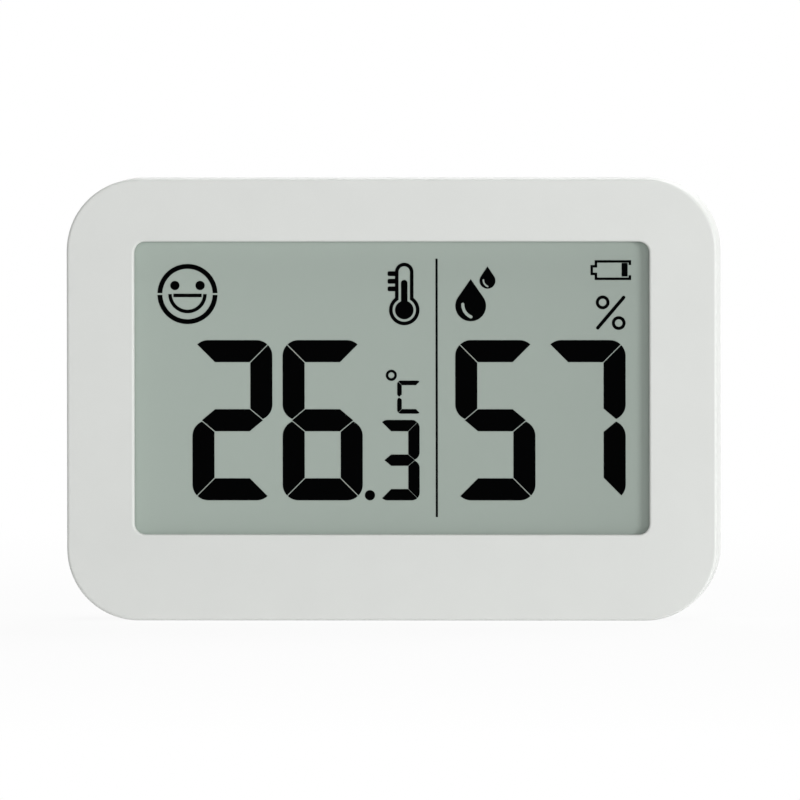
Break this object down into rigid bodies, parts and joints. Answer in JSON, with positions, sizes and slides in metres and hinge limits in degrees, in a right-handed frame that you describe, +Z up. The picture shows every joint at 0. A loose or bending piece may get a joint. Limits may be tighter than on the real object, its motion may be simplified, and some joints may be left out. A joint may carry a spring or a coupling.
{
  "type": "temperature and humidity sensor",
  "caption": "Slim rounded rectangular indoor sensor with a wide segment display in front, a fold-out stand, a keyhole, a twist-lock battery cover and a push button on the back.",
  "frame": {"origin": "centre of the case's bounding box, on the plane of its base", "axes": "+Z up, the display faces -Y, +X to the right seen from the front"},
  "size_m": [0.07, 0.0126, 0.0475],
  "materials": {
    "front_shell": "fine moulded texture, off-white",
    "back_shell": "fine moulded texture, off-white",
    "button_plastic": "fine moulded texture, off-white",
    "gasket_foam": "thin pale grey foam",
    "display_film": "anti-glare grey-green film",
    "reflector": "satin reflecting film",
    "display_glass": "clear thin glass",
    "frame_plastic": "plain moulded",
    "strip_rubber": "striped conductive rubber",
    "board_laminate": "green solder mask",
    "radio_laminate": "dark blue solder mask",
    "screw_steel": "zinc plated",
    "chip_epoxy": "black moulded epoxy",
    "capacitor_ceramic": "brown ceramic",
    "crystal_can": "pressed can",
    "shield_tin": "pressed tinned can",
    "sensor_resin": "white moulded package",
    "switch_plastic": "black moulded",
    "contact_steel": "nickel-plated spring strip",
    "cell_steel": "polished cell can",
    "segment_black": "switched segments of the display"
  },
  "bodies": {
    "housing": {"front_cover": "front_shell", "window_gasket": "gasket_foam", "front_polariser": "display_film", "front_glass": "display_glass", "rear_glass": "display_glass", "reflector_film": "reflector", "display_frame": "frame_plastic", "contact_strip": "strip_rubber", "main_board": "board_laminate", "board_screws": "screw_steel", "controller_chip": "chip_epoxy", "chip_capacitors": "capacitor_ceramic", "timing_crystal": "crystal_can", "radio_board": "radio_laminate", "radio_shield": "shield_tin", "humidity_sensor": "sensor_resin", "tact_switch": "switch_plastic", "negative_contact": "contact_steel", "positive_contact": "contact_steel", "coin_cell": "cell_steel", "back_cover": "back_shell", "case_screws": "screw_steel"},
    "battery_cover": {"battery_cover": "back_shell"},
    "folding_stand": {"folding_stand": "back_shell"},
    "push_button": {"push_button": "button_plastic", "switch_plunger": "switch_plastic"}
  },
  "joints": [
    {"name": "battery_cover_turn", "type": "hinge", "parent": "housing", "child": "battery_cover", "pos_m": [0, 0.00625, 0.021], "axis": [0, 1, 0], "range_deg": [0, 45]},
    {"name": "stand_hinge", "type": "hinge", "parent": "housing", "child": "folding_stand", "pos_m": [0, 0.00495, 0.034], "axis": [1, 0, 0], "range_deg": [0, 45]},
    {"name": "button_press", "type": "slide", "parent": "housing", "child": "push_button", "axis": [0, -1, 0], "range_m": [0, 0.0003], "stiffness_N_per_m": 800, "springref_m": -0.001}
  ]
}
